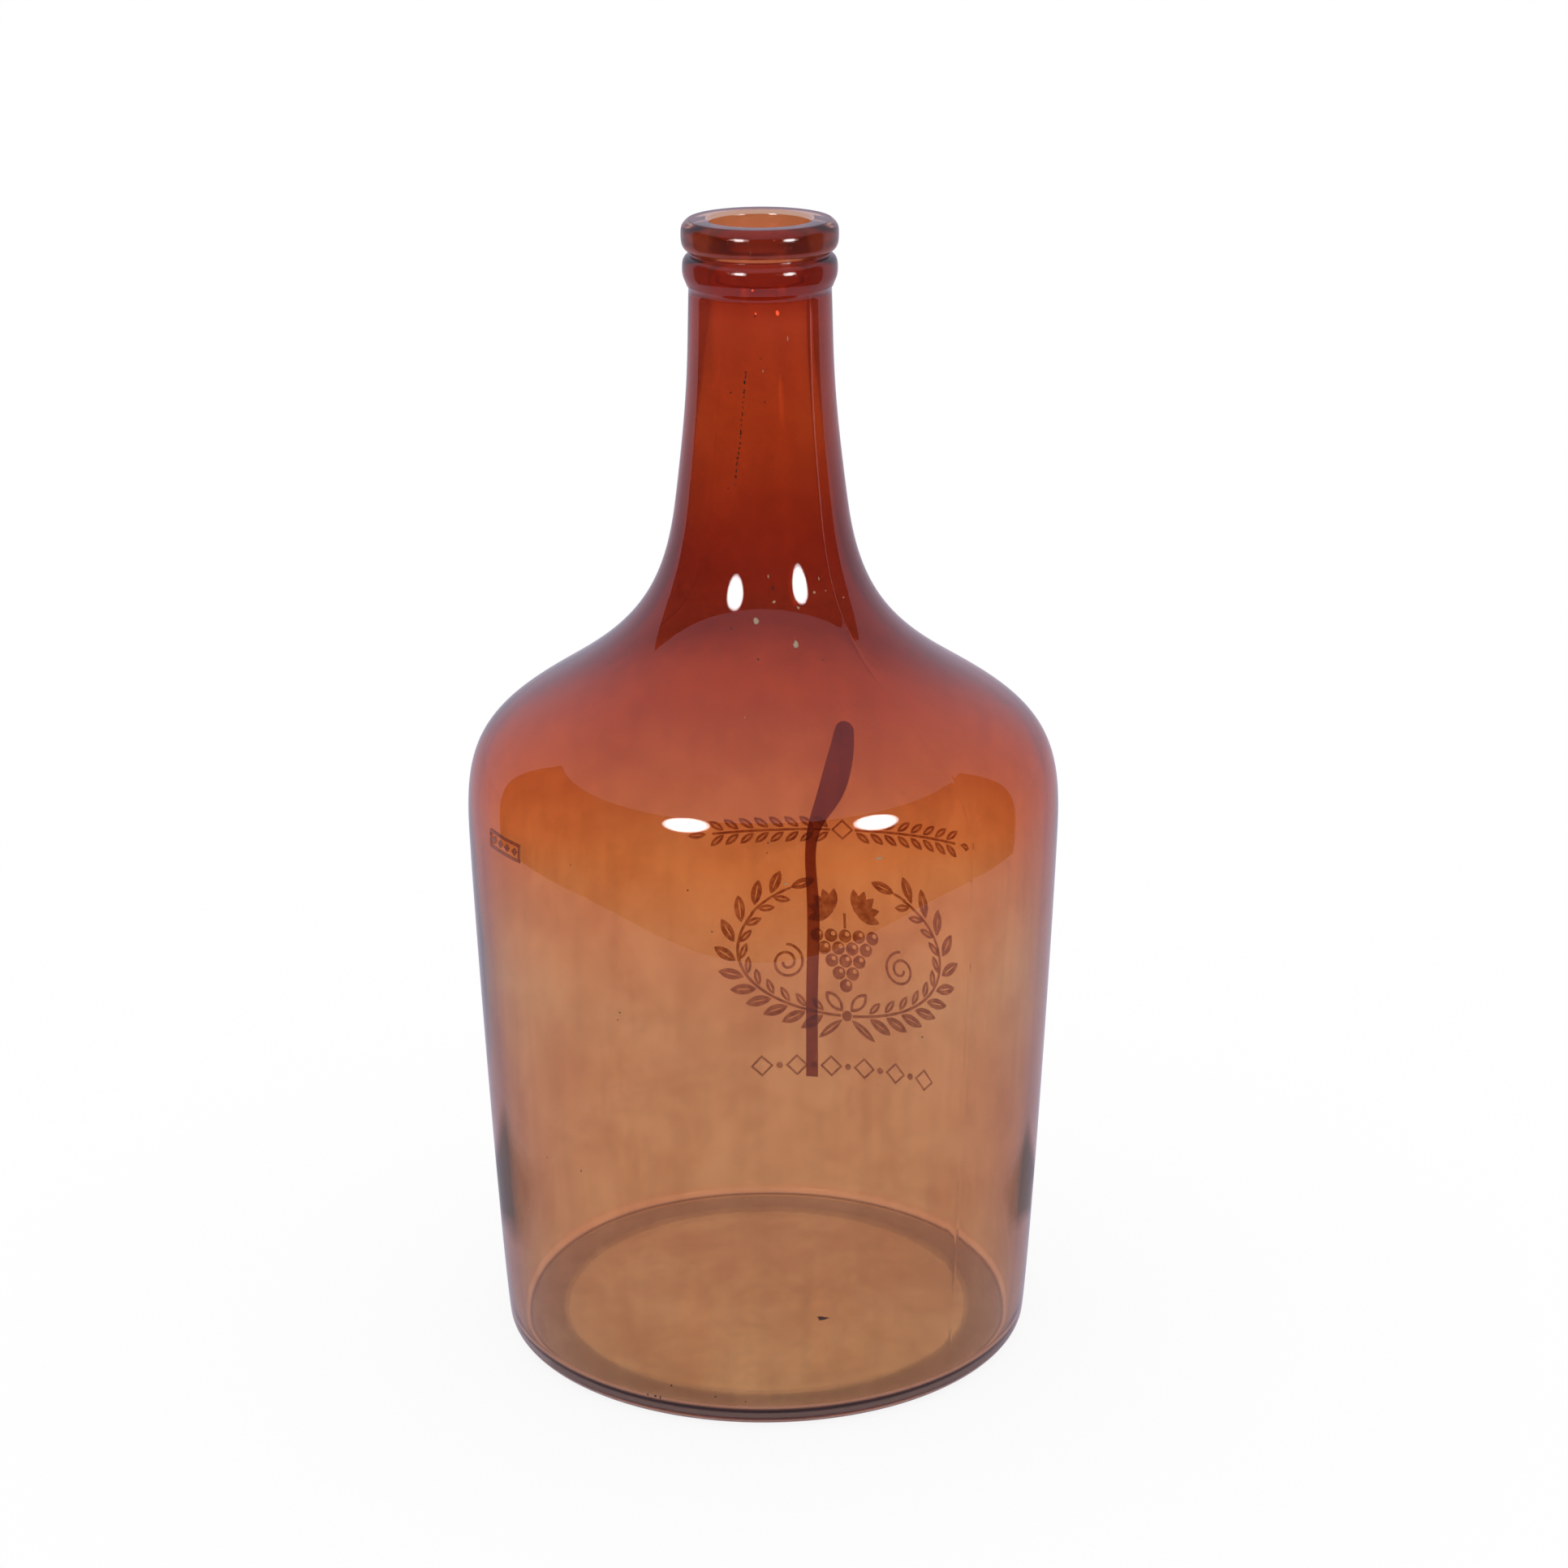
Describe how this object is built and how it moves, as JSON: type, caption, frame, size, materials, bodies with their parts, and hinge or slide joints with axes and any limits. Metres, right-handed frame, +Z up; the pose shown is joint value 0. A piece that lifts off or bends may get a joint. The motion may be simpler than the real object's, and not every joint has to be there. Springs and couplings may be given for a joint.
{
  "type": "glass demijohn bottle",
  "caption": "Hollow blown glass bottle with a broad body, long neck and ringed mouth; it holds and pours liquid, takes a cork in its bore and stands on its base.",
  "frame": {"origin": "on the resting plane under the middle of the base", "axes": "+Z up along the bottle's axis, out of the mouth; the printed wall looks towards -Y, +X to its right"},
  "size_m": [0.1804, 0.1804, 0.35],
  "materials": {
    "clear_glass": "glossy",
    "tint": "glossy",
    "dark_tint": "glossy",
    "ink": "matte"
  },
  "bodies": {
    "root": {"glass_body": "clear_glass", "lip_ring": "clear_glass", "string_ring": "clear_glass", "tint_lining": "tint", "tint_run": "dark_tint", "mould_seams": "clear_glass", "shoulder_mark": "clear_glass", "ink_wreath_right": "ink", "ink_wreath_left": "ink", "ink_bow": "ink", "ink_grapes": "ink", "ink_vine_leaves": "ink", "ink_tendrils": "ink", "ink_upper_border": "ink", "ink_lower_border": "ink"}
  },
  "joints": []
}
